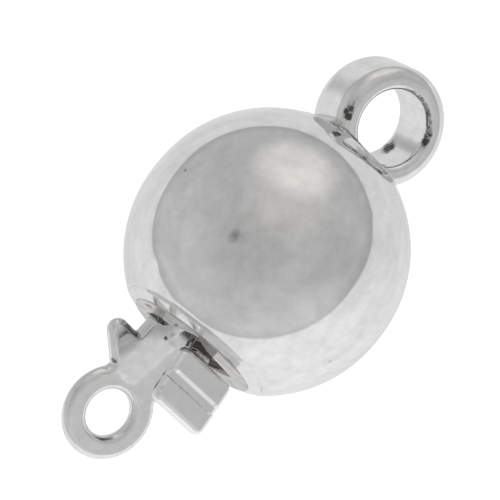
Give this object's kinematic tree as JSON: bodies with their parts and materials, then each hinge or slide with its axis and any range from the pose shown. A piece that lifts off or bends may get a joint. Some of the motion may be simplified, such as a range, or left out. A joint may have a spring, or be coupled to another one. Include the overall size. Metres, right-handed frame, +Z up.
{
  "type": "ball necklace clasp",
  "caption": "Small polished hollow ball clasp with a fixed solder ring at one end and a flat looped tongue with a sprung thumb tab that slides out of the other.",
  "frame": {"origin": "on the surface that the clasp lies on, under the middle of its box", "axes": "+Z up; +X is the level direction from the tongue's loop to the solder ring; the clasp lies closed, as it rests by itself on its ball and its ring"},
  "size_m": [0.0166, 0.01, 0.0104],
  "materials": {
    "ball_shell": "mirror-polished silver plating with fine wear",
    "end_loop": "mirror-polished silver plating with fine wear",
    "slot_plate": "mirror-polished silver plating with fine wear",
    "tongue": "mirror-polished silver plating with fine wear",
    "spring_leaf": "mirror-polished silver plating with fine wear"
  },
  "bodies": {
    "ball": {"ball_shell": "ball_shell", "end_loop": "end_loop", "slot_plate": "slot_plate"},
    "tongue": {"tongue": "tongue"},
    "leaf": {"spring_leaf": "spring_leaf"}
  },
  "joints": [
    {"name": "tongue_slide", "type": "slide", "parent": "ball", "child": "tongue", "axis": [-0.8424, 0, 0.5389], "range_m": [0, 0.0085]},
    {"name": "leaf_press", "type": "hinge", "parent": "tongue", "child": "leaf", "pos_m": [0.00339, -0.00003, 0.0037], "axis": [-0.0526, -0.9952, -0.0822], "range_deg": [0, 6], "stiffness_Nm_per_rad": 0.3}
  ]
}
